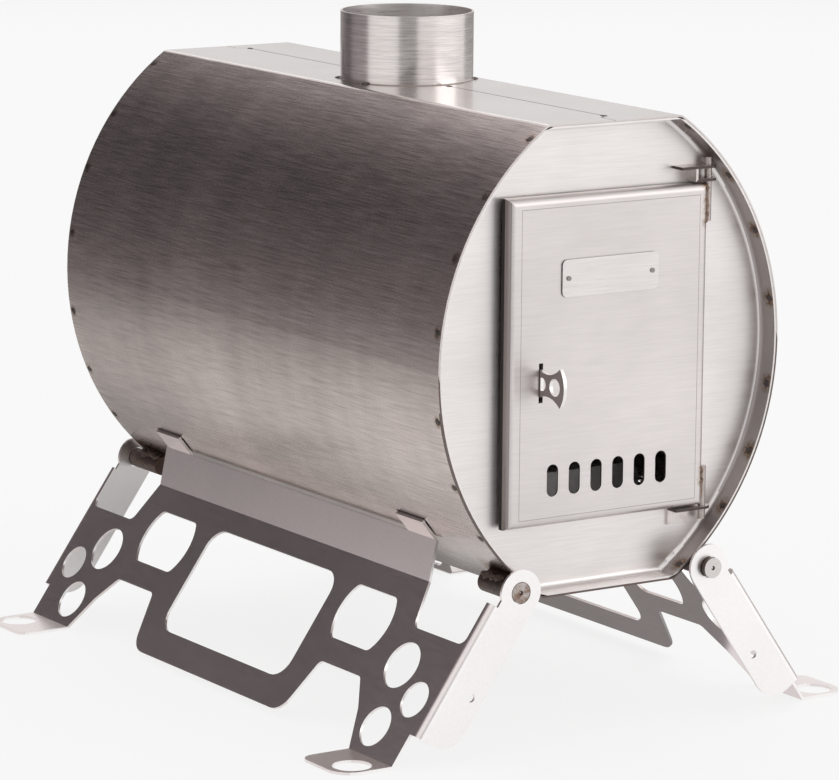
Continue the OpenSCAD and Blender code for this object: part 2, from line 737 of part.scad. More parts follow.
// The latch plate, drawn as (distance in front of the door face, height about the pin)
module latch_lever() {
    horn = latch_horn_h / 2;
    neck = latch_neck_h / 2;
    end_sag = latch_reach - latch_horn_out;
    end_r = (horn * horn + end_sag * end_sag) / (2 * end_sag);
    waist_half = norm([latch_horn_out, horn - neck]) / 2;
    waist_dir = unit([latch_horn_out, horn - neck]);
    waist_c = [latch_horn_out, horn + neck] / 2
        + [-waist_dir[1], waist_dir[0]] * sqrt(latch_waist_r * latch_waist_r - waist_half * waist_half);
    arm_top = -latch_bite - latch_clear;
    arm_bottom = latch_clear - neck;
    nose_y = door_y - hook_y - latch_nose;
    color(dull_steel) placed() translate([latch_x, door_y, latch_z])
        across_x(-latch_t / 2, latch_t / 2) mirror([1, 0]) difference() {
            union() {
                intersection() {
                    translate([latch_reach - end_r, 0]) circle(end_r);
                    difference() {
                        translate([-door_t - latch_pin_in, -horn])
                            square([latch_reach + door_t + latch_pin_in, latch_horn_h]);
                        for (s = [-1, 1]) scale([1, s]) {
                            translate(waist_c) circle(latch_waist_r);
                            translate([-door_t - latch_pin_in - over, neck])
                                square([door_t + latch_pin_in + over, horn]);
                        }
                    }
                }
                translate([nose_y, arm_bottom]) square([-nose_y, arm_top - arm_bottom]);
                translate([nose_y, arm_bottom])
                    square([latch_nose, latch_bite + latch_clear / 2 + arm_top - arm_bottom]);
                translate([-door_t - latch_pin_in, 0]) circle(latch_pin_d / 2 + latch_nose);
            }
            translate([-door_t - latch_pin_in, 0]) circle(latch_pin_d / 2 + latch_pin_clear);
            translate([(latch_reach + latch_waist_r / 3) / 2, 0]) circle(d = latch_eye_d);
            intersection() {
                translate([latch_window_h / 3, 0]) circle(d = latch_window_h);
                translate([latch_window_h / 6, -latch_window_h / 2]) square(latch_window_h);
            }
        }
}

// Half of the leg panel's outline: distance from the middle, distance along the panel, corner radius
function panel_half(bend_v) = [
    [top_half, fold_u, 0],
    [leg_end_v - notch_in, notch_u, notch_r],
    [bend_v - leg_t, notch_u, notch_r],
    [bend_v - leg_t, notch_u - notch_r, 0],
    [bend_v, notch_u - notch_r, 0],
    [bend_v, flange_end_u, 0],
    [foot_out_v, flange_end_u, 0],
    [foot_out_v, foot_u, 0],
    [foot_in_v, foot_u, 0],
    [leg_end_v - knee_in, knee_u, knee_r],
    [leg_end_v - recess_in, recess_u, recess_r],
    [leg_end_v - grip_in, recess_u, recess_r],
    [leg_end_v - grip_low_in, grip_u, grip_r],
];

// A leg in its own frame: pivot at the origin, panel outwards at x = panel_out, u runs down -Z
module leg(flange_y) {
    bend_v = flange_y - flange_bend_r;
    inner_x = panel_out - leg_t;
    difference() {
        union() {
            leg_panel(bend_v);
            for (s = [0, 1]) mirror([0, s, 0]) leg_end(flange_y);
            top_flange();
            for (s = [-1, 1]) translate([0, s * hook_v, 0]) hook();
            for (s = [0, 1]) mirror([0, s, 0]) foot();
        }
        translate([0, flange_y + over, 0]) rotate([90, 0, 0])
            cylinder(r = stub_r + ear_hole_clear, h = 2 * (flange_y + over));
        translate([-peg_hole_in, flange_y + over, -peg_hole_u]) rotate([90, 0, 0])
            cylinder(d = peg_hole_d, h = 2 * (flange_y + over));
    }
}
// A round hole cut off above and below, with rounded corners
module cut_off_round() {
    corner_y = round_h / 2 - round_corner_r;
    corner_reach = round_r - round_corner_r;
    corner_x = sqrt(corner_reach * corner_reach - corner_y * corner_y);
    intersection() {
        circle(round_r);
        square([2 * round_r, 2 * corner_y * round_r / corner_reach], center = true);
    }
    square([2 * corner_x, round_h], center = true);
    for (sx = [-1, 1], sy = [-1, 1])
        translate([sx * corner_x, sy * corner_y]) circle(round_corner_r);
}
module leg_panel(bend_v) {
    half = panel_half(bend_v);
    translate([panel_out - leg_t, 0, 0]) rotate([90, 0, 90]) linear_extrude(leg_t) mirror([0, 1])
        difference() {
            polygon(rounded(concat(half, mirrored(half))));
            polygon(rounded(box_corners(-window_half, window_u, window_half, window_u + window_h, window_r)));
            for (s = [0, 1]) mirror([s, 0]) {
                translate([leg_end_v - round_in, round_u]) cut_off_round();
                translate([leg_end_v - upper_hole_in, upper_hole_u]) circle(upper_hole_r);
                translate([leg_end_v - outer_hole_in, outer_hole_u]) circle(outer_hole_r);
                translate([leg_end_v - lower_hole_in, lower_hole_u]) circle(lower_hole_r);
            }
        }
}
// The bend and end flange at +Y; the bend's outline has a lap into the flange and one into the panel
module bend_outline() {
    inner_r = flange_bend_r - leg_t;
    difference() {
        intersection() {
            circle(flange_bend_r);
            square(flange_bend_r);
        }
        circle(inner_r);
    }
    translate([-leg_t, inner_r]) square(leg_t);
    translate([inner_r, -leg_t]) square(leg_t);
}
module leg_end(flange_y) {
    translate([panel_out - flange_bend_r, flange_y - flange_bend_r, -flange_end_u])
        linear_extrude(flange_end_u - fold_u) bend_outline();
    across_y(flange_y - leg_t, flange_y) {
        intersection() {
            polygon(rounded([[-panel_out, 0, 0], [-panel_out, -flange_end_u, flange_toe_r],
                             [panel_out - flange_bend_r, -flange_end_u, 0],
                             [panel_out - flange_bend_r, 0, 0]]));
            translate([-panel_out, -flange_end_u]) square([flange_w, flange_end_u]);
        }
        circle(panel_out);
    }
}

// Points of the hook in the leg's frame, worked out from the barrel's side
function to_leg(p) = [p[0] * cos(leg_angle) + p[1] * sin(leg_angle),
                      -p[0] * sin(leg_angle) + p[1] * cos(leg_angle)];
hook_face = side_r + hook_gap + leg_t;
hook_mid = [hook_face * cos(hook_angle) - side_c - pivot_x, -hook_face * sin(hook_angle) - pivot_dz];
hook_dir = [sin(hook_angle), cos(hook_angle)];
hook_root = to_leg(hook_mid - hook_dir * hook_len / 2);
hook_tip = to_leg(hook_mid + hook_dir * hook_len / 2);
lip_dir = to_leg([-cos(hook_angle), sin(hook_angle)]);
lip_len = leg_t + hook_gap + shell_t + lip_in;
fold_point = [panel_out, -fold_u];
below_fold = fold_point - [0, leg_t];

module top_flange() {
    across_y(-top_half, top_half)
        polygon(concat([below_fold, fold_point, hook_root],
            path_side([hook_root, fold_point, below_fold], leg_t)));
}
module hook() {
    across_y(-hook_w / 2, hook_w / 2)
        sheet_path([(fold_point + hook_root) / 2, hook_root, hook_tip, hook_tip + lip_dir * lip_len], -leg_t);
}
// A flat foot at +Y; its fold is at the panel's lower edge
module foot() {
    fold = [panel_out, -foot_u];
    out_dir = to_leg([1, 0]);
    up_dir = to_leg([0, 1]);
    across_y(foot_in_v, foot_out_v)
        sheet_path([fold + [0, leg_t], fold, fold + out_dir * leg_t], leg_t);
    translate([fold[0], 0, fold[1]]) rotate([0, leg_angle, 0]) translate([0, 0, -leg_t])
        linear_extrude(leg_t) difference() {
            polygon(rounded([[0, foot_in_v, 0], [foot_len, foot_in_v, foot_in_r],
                             [foot_len, foot_out_v, foot_out_r], [0, foot_out_v, 0]]));
            translate([foot_hole_out, foot_out_v - foot_hole_in]) circle(d = foot_hole_d);
        }
}

module set_up_leg(flange_y) {
    color(dull_steel) placed() translate([pivot_x, 0, pivot_z]) rotate([0, -leg_angle, 0]) leg(flange_y);
}
module right_leg() set_up_leg(right_flange_y);
module left_leg() mirror([1, 0, 0]) set_up_leg(left_flange_y);

barrel_shell();
front_panel();
rear_panel();
flue_collar();
ember_guard();
upper_hinge_bracket();
lower_hinge_bracket();
latch_keeper();
front_left_pivot_stub();
front_right_pivot_stub();
rear_left_pivot_stub();
rear_right_pivot_stub();
door_panel();
upper_hinge_rod();
lower_hinge_rod();
nameplate();
nameplate_rivets();
latch_bracket();
latch_pin();
latch_lever();
left_leg();
right_leg();
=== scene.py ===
import math
import random
import bmesh
import bpy
from mathutils import Matrix, Vector


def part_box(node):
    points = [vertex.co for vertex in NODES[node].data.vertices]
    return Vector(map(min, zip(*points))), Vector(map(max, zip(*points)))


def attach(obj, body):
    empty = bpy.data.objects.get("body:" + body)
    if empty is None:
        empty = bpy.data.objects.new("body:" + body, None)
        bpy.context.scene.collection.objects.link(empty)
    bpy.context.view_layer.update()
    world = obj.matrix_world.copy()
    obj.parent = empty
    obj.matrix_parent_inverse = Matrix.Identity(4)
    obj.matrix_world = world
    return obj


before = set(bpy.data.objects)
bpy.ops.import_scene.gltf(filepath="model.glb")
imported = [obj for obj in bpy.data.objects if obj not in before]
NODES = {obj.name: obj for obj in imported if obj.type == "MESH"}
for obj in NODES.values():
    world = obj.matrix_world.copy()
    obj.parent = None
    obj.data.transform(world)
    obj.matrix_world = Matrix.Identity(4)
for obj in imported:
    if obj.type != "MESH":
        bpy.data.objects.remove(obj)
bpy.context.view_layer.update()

# A tent stove: finishes, weld metal, stage and light round the solids of the frame
MM = 0.001
scene = bpy.context.scene
scene.view_settings.view_transform = "Standard"
random.seed(7)

# Camera, where the photographer stood: fitted to the barrel's edges in the photograph
CAMERA_AZIMUTH = math.radians(-33.084)
CAMERA_ELEVATION = math.radians(10.826)
CAMERA_ROLL = math.radians(0.456)
CAMERA_PLACE = Vector((-1.3294, -2.04995, 0.6237))
CAMERA_LENS = 187.9
SENSOR_WIDTH = 36


def make_camera():
    """The photograph's viewpoint."""
    level = math.cos(CAMERA_ELEVATION)
    ahead = Vector((-math.sin(CAMERA_AZIMUTH) * level, math.cos(CAMERA_AZIMUTH) * level,
                    -math.sin(CAMERA_ELEVATION)))
    right = ahead.cross(Vector((0, 0, 1))).normalized()
    up = right.cross(ahead)
    rolled_right = right * math.cos(CAMERA_ROLL) + up * math.sin(CAMERA_ROLL)
    rolled_up = up * math.cos(CAMERA_ROLL) - right * math.sin(CAMERA_ROLL)
    place = Matrix((rolled_right, rolled_up, -ahead)).transposed().to_4x4()
    place.translation = CAMERA_PLACE
    data = bpy.data.cameras.new("camera")
    data.lens = CAMERA_LENS
    data.sensor_width = SENSOR_WIDTH
    data.clip_start = 0.05
    data.clip_end = 100
    camera = bpy.data.objects.new("camera", data)
    scene.collection.objects.link(camera)
    camera.matrix_world = place
    scene.camera = camera


# Shader helpers
MIX_INPUTS = (0, 6, 7)  # factor and the two colours on a Mix node for colours
MIX_RESULT = 2


def fresh_tree(owner):
    """The emptied node tree of a material or a world."""
    owner.use_nodes = True
    owner.node_tree.nodes.clear()
    return owner.node_tree


class Shader:
    """A material's node tree, with short calls for the nodes that the finishes use."""

    def __init__(self, name):
        self.mat = bpy.data.materials.new(name)
        self.tree = fresh_tree(self.mat)
        self.bsdf = self.add("ShaderNodeBsdfPrincipled")
        self.link(self.bsdf.outputs[0], self.add("ShaderNodeOutputMaterial").inputs[0])
        self.coord = self.add("ShaderNodeTexCoord").outputs["Object"]

    def add(self, kind, **values):
        """A new node with its settings."""
        node = self.tree.nodes.new(kind)
        for key, value in values.items():
            setattr(node, key, value)
        return node

    def link(self, a, b):
        self.tree.links.new(a, b)

    def noise(self, scale, stretch=(1, 1, 1), detail=3.0, rough=0.55):
        """Noise in the object's own coordinates, which stretch multiplies."""
        mapping = self.add("ShaderNodeMapping")
        self.link(self.coord, mapping.inputs["Vector"])
        mapping.inputs["Scale"].default_value = stretch
        node = self.add("ShaderNodeTexNoise")
        self.link(mapping.outputs[0], node.inputs["Vector"])
        node.inputs["Scale"].default_value = scale
        node.inputs["Detail"].default_value = detail
        node.inputs["Roughness"].default_value = rough
        return node.outputs["Fac"]

    def ramp(self, fac, stops):
        """The factor turned into the grey tones at the stops of (place, tone)."""
        node = self.add("ShaderNodeValToRGB")
        self.link(fac, node.inputs[0])
        line = node.color_ramp
        while len(line.elements) < len(stops):
            line.elements.new(0.5)
        for element, (place, tone) in zip(line.elements, stops):
            element.position = place
            element.color = (tone, tone, tone, 1)
        return node.outputs[0]

    def maths(self, operation, a, b, clamp=False):
        """One Math node on two numbers or sockets."""
        node = self.add("ShaderNodeMath", operation=operation, use_clamp=clamp)
        for socket, value in zip(node.inputs, (a, b)):
            if isinstance(value, (int, float)):
                socket.default_value = value
            else:
                self.link(value, socket)
        return node.outputs[0]

    def mix(self, fac, a, b, blend="MIX"):
        """Colours a and b, each a colour or a socket, mixed by the factor."""
        node = self.add("ShaderNodeMix", data_type="RGBA", blend_type=blend)
        for i, value in zip(MIX_INPUTS, (fac, a, b)):
            socket = node.inputs[i]
            if isinstance(value, (int, float)):
                socket.default_value = value
            elif isinstance(value, tuple):
                socket.default_value = (*value, 1)
            else:
                self.link(value, socket)
        return node.outputs[MIX_RESULT]

    def spots(self, points):
        """1 at each (place, radius), falling to 0 at the radius."""
        total = None
        for place, radius in points:
            node = self.add("ShaderNodeVectorMath", operation="DISTANCE")
            self.link(self.coord, node.inputs[0])
            node.inputs[1].default_value = place
            share = self.maths("DIVIDE", node.outputs["Value"], radius)
            near = self.maths("SUBTRACT", 1.0, share, True)
            total = near if total is None else self.maths("MAXIMUM", total, near)
        return total

    def block(self, limits, soft=0.2 * MM):
        """1 between the limits, one (axis, low, high) each, with soft edges outside them."""
        split = self.add("ShaderNodeSeparateXYZ")
        self.link(self.coord, split.inputs[0])
        total = 1.0
        for axis, low, high in limits:
            value = split.outputs["XYZ".index(axis)]
            above = self.maths("DIVIDE", self.maths("SUBTRACT", value, low - soft), soft, True)
            below = self.maths("DIVIDE", self.maths("SUBTRACT", high + soft, value), soft, True)
            total = self.maths("MULTIPLY", total, self.maths("MULTIPLY", above, below))
        return total

    def bump(self, height, strength, distance):
        """The height as a fine relief."""
        node = self.add("ShaderNodeBump")
        node.inputs["Strength"].default_value = strength
        node.inputs["Distance"].default_value = distance
        self.link(height, node.inputs["Height"])
        self.link(node.outputs[0], self.bsdf.inputs["Normal"])


# Sheet steel in its finishes
TINT_STRAW = (0.42, 0.27, 0.12)
TINT_BROWN = (0.16, 0.075, 0.035)
STAIN_SIZE = 160
SPECKLE_SIZE = 420


def stained(s, base, share):
    """The base with a share of brown stain."""
    stain = s.ramp(s.noise(STAIN_SIZE, detail=6.0, rough=0.7), ((0.45, 0.0), (0.62, 1.0)))
    return s.mix(s.maths("MULTIPLY", stain, share), base, TINT_BROWN)


def heat_tinted(s, base, tints):
    """The base with heat marks at (place, radius), straw at the edge and brown in the middle."""
    speckle = s.ramp(s.noise(SPECKLE_SIZE, detail=5.0, rough=0.7), ((0.38, 0.25), (0.6, 1.0)))
    heat = s.maths("MULTIPLY", s.spots(tints), speckle)
    straw = s.ramp(heat, ((0.05, 0.0), (0.35, 0.6), (0.6, 0.8)))
    brown = s.ramp(heat, ((0.3, 0.0), (0.6, 0.9)))
    return s.mix(brown, s.mix(straw, base, TINT_STRAW, "MULTIPLY"), TINT_BROWN)


def steel(name, colour, rough=(0.28, 0.42), grain=(1, 1, 1), grain_size=300, cloud=0.08,
          cloud_grain=(9, 9, 9), tints=(), mottle=0.0, bump=0.15, bump_rise=0.2 * MM, streak=0.07,
          lines=(), line_tone=0.35):
    """Brushed or mill-finish sheet steel.

    rough is the lowest and the highest roughness of the brushing. grain stretches the
    brushing, grain_size is its scale, streak its depth in tone, and bump and bump_rise its relief.
    cloud is the slow change of tone, which cloud_grain stretches. tints are heat marks at (place,
    radius) and mottle is the share of brown stain. Each of the lines is a list of outer limits and a
    list of inner limits, and between the two the steel has line_tone of its colour.
    """
    s = Shader(name)
    brush = s.noise(grain_size, grain, 4.0, 0.6)
    slow = s.ramp(s.noise(1.0, cloud_grain), ((0.3, 0.0), (0.7, 1.0)))
    darker = tuple(c * (1 - cloud) for c in colour)
    lighter = tuple(min(1.0, c * (1 + cloud)) for c in colour)
    fine = s.ramp(brush, ((0.34, 1.0 - streak), (0.62, 1.0)))
    base = s.mix(1.0, s.mix(slow, darker, lighter), fine, "MULTIPLY")
    if mottle:
        base = stained(s, base, mottle)
    if tints:
        base = heat_tinted(s, base, tints)
    for outer, inner in lines:
        mark = s.block(outer)
        if inner:
            mark = s.maths("SUBTRACT", mark, s.block(inner), True)
        base = s.mix(mark, base, tuple(c * line_tone for c in colour))
    s.link(base, s.bsdf.inputs["Base Color"])
    s.bsdf.inputs["Metallic"].default_value = 1.0
    s.link(s.ramp(brush, ((0.25, rough[0]), (0.75, rough[1]))), s.bsdf.inputs["Roughness"])
    s.bump(brush, bump, bump_rise)
    return s.mat


def dress(node, mat, *others):
    """Give a node its finish, and others of (finish, test) to the faces whose centre and normal pass."""
    mesh = NODES[node].data
    mesh.materials.clear()
    mesh.materials.append(mat)
    for other, _ in others:
        mesh.materials.append(other)
    for polygon in mesh.polygons:
        polygon.material_index = 0
        for i, (_, test) in enumerate(others, 1):
            if test(polygon.center, polygon.normal):
                polygon.material_index = i


# Stage: white to the camera and in reflections
WORLD_LIGHT = 0.6
FLOOR_SIZE = 14
FLOOR_DROP = 0.5 * MM
FLOOR_TONE = 0.9
FLOOR_GLOW = 0.82  # share of plain white that the floor shows; the rest takes the shadow


def white_rays(tree):
    """1 for rays from the camera and for mirrored and transmitted rays."""
    path = tree.nodes.new("ShaderNodeLightPath")
    either = path.outputs["Is Camera Ray"]
    for name in ("Is Glossy Ray", "Is Transmission Ray"):
        node = tree.nodes.new("ShaderNodeMath")
        node.operation = "MAXIMUM"
        tree.links.new(either, node.inputs[0])
        tree.links.new(path.outputs[name], node.inputs[1])
        either = node.outputs[0]
    return either


def mix_shaders(tree, fac, first, second, out_kind):
    """The two shaders mixed by the factor, as the tree's output."""
    mix = tree.nodes.new("ShaderNodeMixShader")
    tree.links.new(fac, mix.inputs[0])
    tree.links.new(first.outputs[0], mix.inputs[1])
    tree.links.new(second.outputs[0], mix.inputs[2])
    tree.links.new(mix.outputs[0], tree.nodes.new(out_kind).inputs[0])


def make_world():
    """Even light that the camera and the reflections see as white."""
    world = bpy.data.worlds.new("studio")
    scene.world = world
    tree = fresh_tree(world)
    lit = tree.nodes.new("ShaderNodeBackground")
    lit.inputs["Color"].default_value = (1, 1, 1, 1)
    lit.inputs["Strength"].default_value = WORLD_LIGHT
    seen = tree.nodes.new("ShaderNodeBackground")
    seen.inputs["Color"].default_value = (1, 1, 1, 1)
    seen.inputs["Strength"].default_value = 1.0
    mix_shaders(tree, white_rays(tree), lit, seen, "ShaderNodeOutputWorld")


def make_floor():
    """A white floor that keeps a soft shadow."""
    bpy.ops.mesh.primitive_plane_add(size=FLOOR_SIZE, location=(0, 0, -FLOOR_DROP))
    floor = bpy.context.object
    floor.name = "floor"
    mat = bpy.data.materials.new("floor_white")
    tree = fresh_tree(mat)
    plain = tree.nodes.new("ShaderNodeBsdfDiffuse")
    plain.inputs["Color"].default_value = (FLOOR_TONE, FLOOR_TONE, FLOOR_TONE, 1)
    glow = tree.nodes.new("ShaderNodeEmission")
    glow.inputs["Color"].default_value = (1, 1, 1, 1)
    glow.inputs["Strength"].default_value = 1.0
    fac = tree.nodes.new("ShaderNodeMath")
    fac.operation = "MULTIPLY"
    fac.inputs[1].default_value = FLOOR_GLOW
    tree.links.new(white_rays(tree), fac.inputs[0])
    mix_shaders(tree, fac.outputs[0], plain, glow, "ShaderNodeOutputMaterial")
    floor.data.materials.append(mat)


def softbox(name, place, aim, size, power):
    """A soft rectangular lamp."""
    data = bpy.data.lights.new(name, "AREA")
    data.shape = "RECTANGLE"
    data.size, data.size_y = size
    data.energy = power
    lamp = bpy.data.objects.new(name, data)
    scene.collection.objects.link(lamp)
    lamp.location = place
    lamp.rotation_mode = "QUATERNION"
    lamp.rotation_quaternion = (Vector(aim) - Vector(place)).to_track_quat("-Z", "Y")


# Glowing sheets round the stove, out of the picture and seen only in reflections: painted reflections
# whose shades darken what the steel reflects
GREY_HUE = (1.0, 0.975, 0.965)
DUSK_HUE = (1.05, 0.955, 0.985)
SHEET_RISE = 1 * MM


def reflection_sheet(name, grid, hue):
    """A glowing sheet outside the picture, seen only in reflections, that paints the shade the steel
    reflects: rows of (place, shade), in one hue.
    """
    width = len(grid[0])
    corners = [corner for row in grid for corner in row]
    faces = [(r * width + c, r * width + c + 1, (r + 1) * width + c + 1, (r + 1) * width + c)
             for r in range(len(grid) - 1) for c in range(width - 1)]
    mesh = bpy.data.meshes.new(name)
    mesh.from_pydata([place for place, _ in corners], [], faces)
    layer = mesh.color_attributes.new("shade", "FLOAT_COLOR", "POINT")
    for point, (_, shade) in zip(layer.data, corners):
        point.color = (*(shade * part for part in hue), 1)
    sheet = bpy.data.objects.new(name, mesh)
    scene.collection.objects.link(sheet)
    mat = bpy.data.materials.new(name)
    tree = fresh_tree(mat)
    shade = tree.nodes.new("ShaderNodeAttribute")
    shade.attribute_name = "shade"
    glow = tree.nodes.new("ShaderNodeEmission")
    tree.links.new(shade.outputs["Color"], glow.inputs["Color"])
    tree.links.new(glow.outputs[0], tree.nodes.new("ShaderNodeOutputMaterial").inputs[0])
    mesh.materials.append(mat)
    sheet.visible_camera = False
    sheet.visible_shadow = False
    sheet.visible_diffuse = False


def standing_reflection_sheet(name, feet, rows, hue=GREY_HUE):
    """A standing glowing sheet of painted reflection over feet of (x, y, factor), with a (height, shade)
    for each row.
    """
    reflection_sheet(name, [[((x, y, height), shade * factor) for x, y, factor in feet] for height, shade in rows],
          hue)


def floor_reflection_sheet(name, near, far, columns):
    """A glowing sheet of painted reflection on the floor, shaded from its near to its far (y, shade), in
    columns of (x, factor).
    """
    reflection_sheet(name, [[((x, y, SHEET_RISE), shade * factor) for y, shade in (near, far)]
                 for x, factor in columns], GREY_HUE)


# Places, from the frame's boxes
STUBS = ("front_left_pivot_stub", "front_right_pivot_stub", "rear_left_pivot_stub",
         "rear_right_pivot_stub")
SHELL_LO, SHELL_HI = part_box("barrel_shell")
DOOR_LO, DOOR_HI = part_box("door_panel")
COLLAR_LO, COLLAR_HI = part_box("flue_collar")
COLLAR_MID = (COLLAR_LO + COLLAR_HI) / 2
COLLAR_R = (COLLAR_HI.x - COLLAR_LO.x) / 2
MID_Z = (SHELL_LO.z + SHELL_HI.z) / 2

# The barrel's side is an arc between its flat top and bottom
HALF_H = (SHELL_HI.z - SHELL_LO.z) / 2
HALF_W = SHELL_HI.x
HALF_FLAT = 43 * MM
SAG = HALF_W - HALF_FLAT
SIDE_R = (SAG * SAG + HALF_H * HALF_H) / (2 * SAG)
SIDE_C = SIDE_R - HALF_W


def side_point(side, rise, y, inset=0.0):
    """Point on the barrel's side at a rise over its middle, with the face's outward direction.

    side is -1 for left and 1 for right, and inset is how far the point lies inside the outer face.
    """
    r = SIDE_R - inset
    x = math.sqrt(r * r - rise * rise) - SIDE_C
    out = Vector((side * (x + SIDE_C), 0, rise)).normalized()
    return Vector((side * x, y, MID_Z + rise)), out


# Spot welds along both ends, and the heat marks round them
WELD_FRONT = SHELL_LO.y + 3.4 * MM
WELD_REAR = SHELL_HI.y - 3.4 * MM
WELD_RISES = [rise * MM for rise in (-119, -90, -61, -25, 22, 60, 91, 119)]
INNER_FACE = 2.1 * MM  # from the barrel's outer face to the inner face of the panel's flange
WELD_MARK = 4.5 * MM
INNER_MARK = 7 * MM
STUB_MARK = 13 * MM
HINGE_MARK = 6 * MM
HINGE_MARK_IN = 2 * MM  # from the door's face

# The lap seam on the top with its painted shadow line, the painted shade line along the front edge, and
# the door's bend lines, painted as shade lines
SEAM_X = 5 * MM
SEAM_END = 18 * MM
SEAM_HALF = 0.5 * MM
SEAM_DEPTH = 2 * MM
# Painted shadow: a near-black line along the lap seam on the top
SEAM_SHADOW_LINE = [("X", SEAM_X - SEAM_HALF, SEAM_X + SEAM_HALF),
        ("Y", SHELL_LO.y + SEAM_END, SHELL_HI.y - SEAM_END),
        ("Z", SHELL_HI.z - SEAM_DEPTH, SHELL_HI.z)]
# Painted shade: a dark line on the left side along the barrel's front edge, below its middle, where it
# meets the front panel
EDGE_SHADE_W = 1.2 * MM
EDGE_SHADE_TOP = MID_Z - 20 * MM
EDGE_SHADE_LINE = [("X", SHELL_LO.x, 0.0), ("Y", SHELL_LO.y, SHELL_LO.y + EDGE_SHADE_W),
             ("Z", SHELL_LO.z, EDGE_SHADE_TOP)]
CREASE_LEFT = 8 * MM
CREASE_RIGHT = 6 * MM
CREASE_TOP = 6 * MM
CREASE_BOTTOM = 4.5 * MM
CREASE_W = 0.35 * MM
# Painted shadow: the rear part of the door's side, next to the panel, is near black
SIDE_UNSHADOWED = 4.3 * MM  # from the door's face to where its side turns dark
DOOR_SHADE = [("Y", DOOR_LO.y + SIDE_UNSHADOWED, DOOR_HI.y)]


def crease_box(inset):
    """The rectangle of the door's painted shade lines along its bends, drawn in by the inset."""
    return [("X", DOOR_LO.x + CREASE_LEFT + inset, DOOR_HI.x - CREASE_RIGHT - inset),
            ("Z", DOOR_LO.z + CREASE_BOTTOM + inset, DOOR_HI.z - CREASE_TOP - inset)]


def shell_marks():
    """Heat marks on the barrel: round the spot welds and over the stubs."""
    marks = [(side_point(side, rise, y)[0], WELD_MARK) for side in (-1, 1) for rise in WELD_RISES
             for y in (WELD_FRONT, WELD_REAR)]
    for stub in STUBS:
        low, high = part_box(stub)
        for share in (0.2, 0.5, 0.8):
            y = low.y + share * (high.y - low.y)
            marks.append((((low.x + high.x) / 2, y, high.z), STUB_MARK))
    return marks


def flange_marks():
    """Heat marks round the spot welds inside the front panel's flange."""
    return [(side_point(side, rise, WELD_FRONT, INNER_FACE)[0], INNER_MARK) for side in (-1, 1)
            for rise in WELD_RISES]


def hinge_marks():
    """Heat marks on the door where its hinge rods are welded."""
    y = DOOR_LO.y + HINGE_MARK_IN
    heights = [DOOR_HI.z - drop * MM for drop in (2, 9, 16, 21)]
    heights += [DOOR_LO.z + rise * MM for rise in (14, 19)]
    return [((DOOR_HI.x, y, z), HINGE_MARK) for z in heights]


# Tests that pick a node's faces
def faces_left(centre, normal):
    """Flanges that look to the left."""
    return normal.x < -0.5


def faces_end(centre, normal):
    """Faces that look to the front or the rear."""
    return abs(normal.y) > 0.9


def faces_up(centre, normal):
    """The flat top."""
    return normal.z > 0.97


def lower_rim(centre, normal):
    """The barrel's sheet edge below its middle."""
    return faces_end(centre, normal) and centre.z < MID_Z


def leg_panel(centre, normal):
    """The sloping panel of a leg."""
    return 0.7 < abs(normal.x) < 0.9 and abs(normal.z) > 0.4


def lever_side(centre, normal):
    """The flat sides of the latch plate."""
    return abs(normal.x) > 0.8


def inside_collar(centre, normal):
    """The collar's inner face."""
    return (centre.x - COLLAR_MID.x) * normal.x + (centre.y - COLLAR_MID.y) * normal.y < 0


# Finishes of the CAD nodes, with the brushing along Y, along X or round the collar
LENGTHWISE = (1, 0.024, 1)
ACROSS = (0.04, 1, 1)
AROUND = (0.04, 0.04, 1)
PALE = (0.80, 0.76, 0.745)
EAR_T = 1.6 * MM


def dress_barrel():
    """The shell's sides, with a painted shade line low on the front edge at the left, its smoother top,
    lighter as painted light and with the seam as a painted shadow line, and its sheet edges, darker
    below the middle.
    """
    # Painted shade: the dark line at the lower front edge on the left
    sides = steel("barrel_finish", (0.58, 0.515, 0.49), (0.20, 0.32), LENGTHWISE, 1600, streak=0.31,
                  bump=0.07, tints=shell_marks(), cloud=0.12, cloud_grain=(3, 24, 3),
                  lines=[(EDGE_SHADE_LINE, [])], line_tone=0.2)
    # Painted light: the flat top is a lighter copy of the sides' steel, besides being smoother
    top = steel("lit_top_finish", (0.68, 0.645, 0.635), (0.15, 0.22), LENGTHWISE, 1500, streak=0.06,
                bump=0.02, lines=[(SEAM_SHADOW_LINE, [])], line_tone=0.08)
    rim = steel("rim_finish", (0.62, 0.57, 0.55), (0.3, 0.45), grain_size=400)
    # The sheet edges below the middle are darker
    dark_lower_rim = steel("dark_lower_rim_finish", (0.16, 0.13, 0.125), (0.3, 0.5), mottle=0.4, bump=0.4)
    dress("barrel_shell", sides, (top, faces_up), (rim, faces_end), (dark_lower_rim, lower_rim))


def dress_panels():
    """The two end panels, and the flange inside the front one, darker as painted shade, with heat marks
    round its welds.
    """
    front, rear = (steel(name, PALE, (0.34, 0.46), ACROSS, 1100, bump=0.05)
                   for name in ("front_finish", "rear_finish"))
    # Painted shade: the flange that looks left is a darker copy of the panel's steel
    flange = steel("panel_shaded_flange_finish", (0.42, 0.38, 0.37), (0.34, 0.5), grain_size=700,
                   tints=flange_marks())
    dress("front_panel", front, (flange, faces_left))
    dress("rear_panel", rear)


def dress_collar():
    """The collar, brushed round, and its lining, lighter as painted light."""
    collar = steel("collar_finish", (0.80, 0.745, 0.725), (0.18, 0.26), AROUND, 1300, streak=0.2,
                   bump=0.06)
    # Painted light: the collar's inner face is a lighter copy of its steel
    lining = steel("collar_lit_lining_finish", (0.92, 0.88, 0.87), (0.25, 0.35), AROUND, 1300, streak=0.1,
                   bump=0.06)
    dress("flue_collar", collar, (lining, inside_collar))


